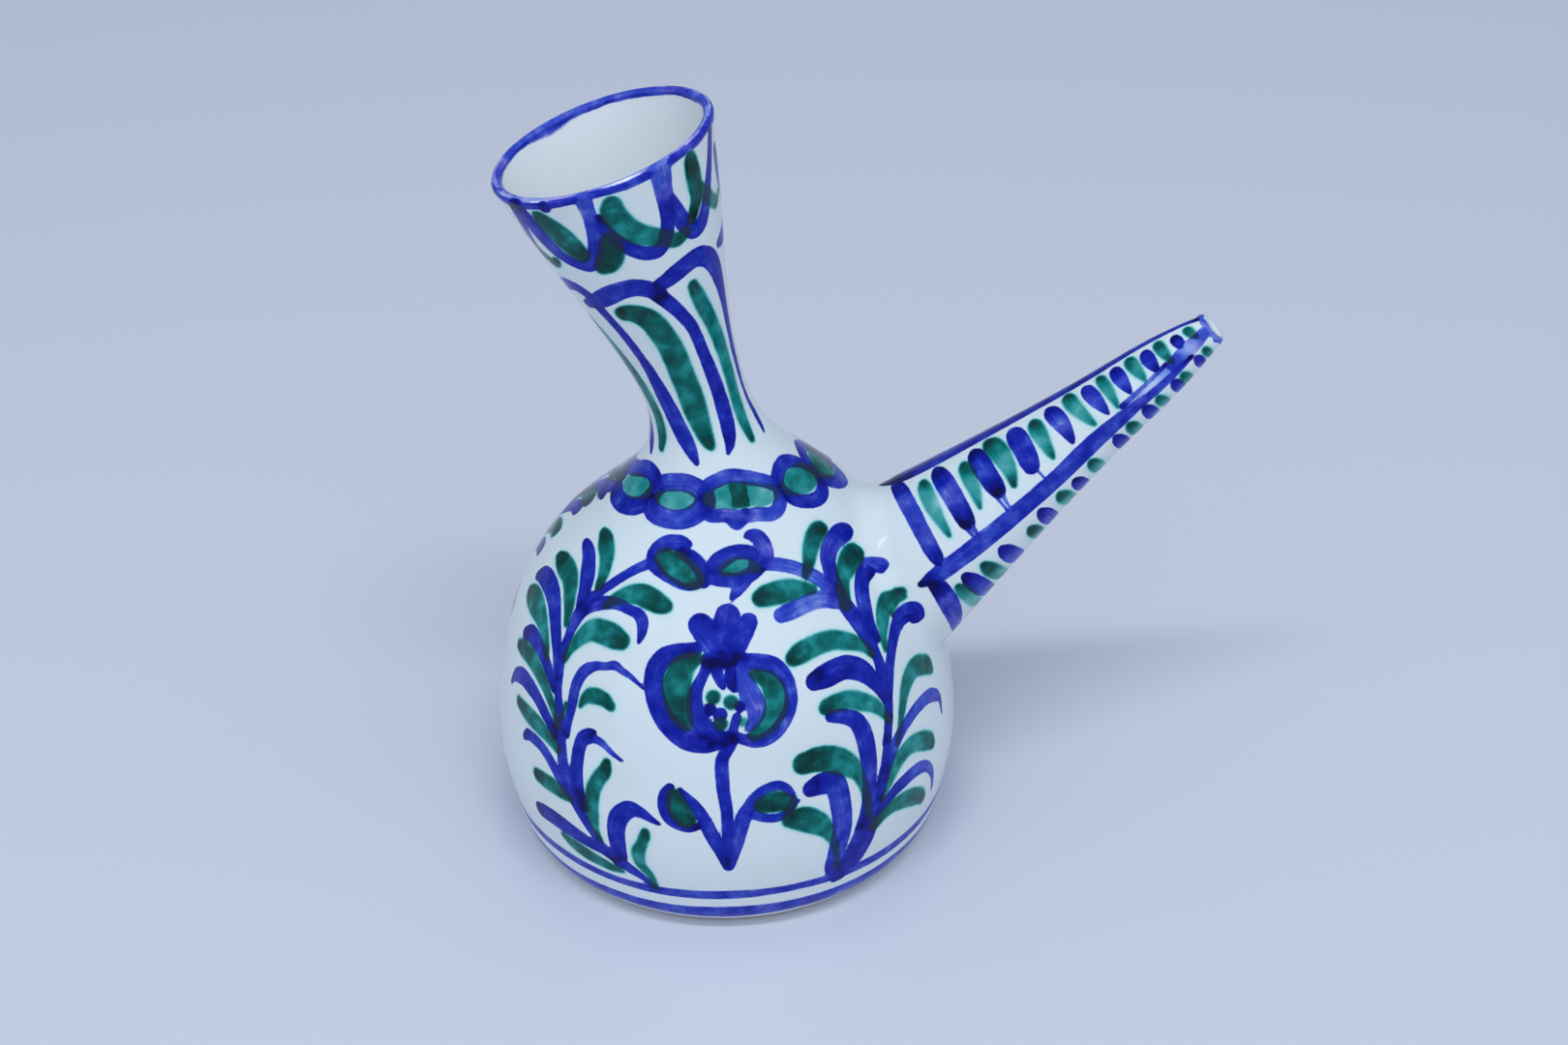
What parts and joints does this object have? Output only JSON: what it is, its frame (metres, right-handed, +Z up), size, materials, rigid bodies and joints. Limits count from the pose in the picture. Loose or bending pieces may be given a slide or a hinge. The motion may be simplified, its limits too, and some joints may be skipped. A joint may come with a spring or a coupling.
{
  "type": "porron",
  "caption": "Round-bellied glazed earthenware wine jug with a leaning flared neck for filling and a straight tapered spout for pouring a thin stream.",
  "frame": {"origin": "centre of the flat foot that the jug stands on", "axes": "+Z up along the body's axis, +X towards the spout, so the neck leans towards -X and the jug is symmetric about the XZ plane"},
  "size_m": [0.2275, 0.1504, 0.2478],
  "materials": {
    "glazed_ware": "glossy white tin glaze with cobalt blue and copper green brushwork",
    "glazed_luting": "fired clay slip under the same glossy glaze"
  },
  "bodies": {
    "root": {"body": "glazed_ware", "neck": "glazed_ware", "spout": "glazed_ware", "neck_luting": "glazed_luting", "spout_luting": "glazed_luting"}
  },
  "joints": []
}
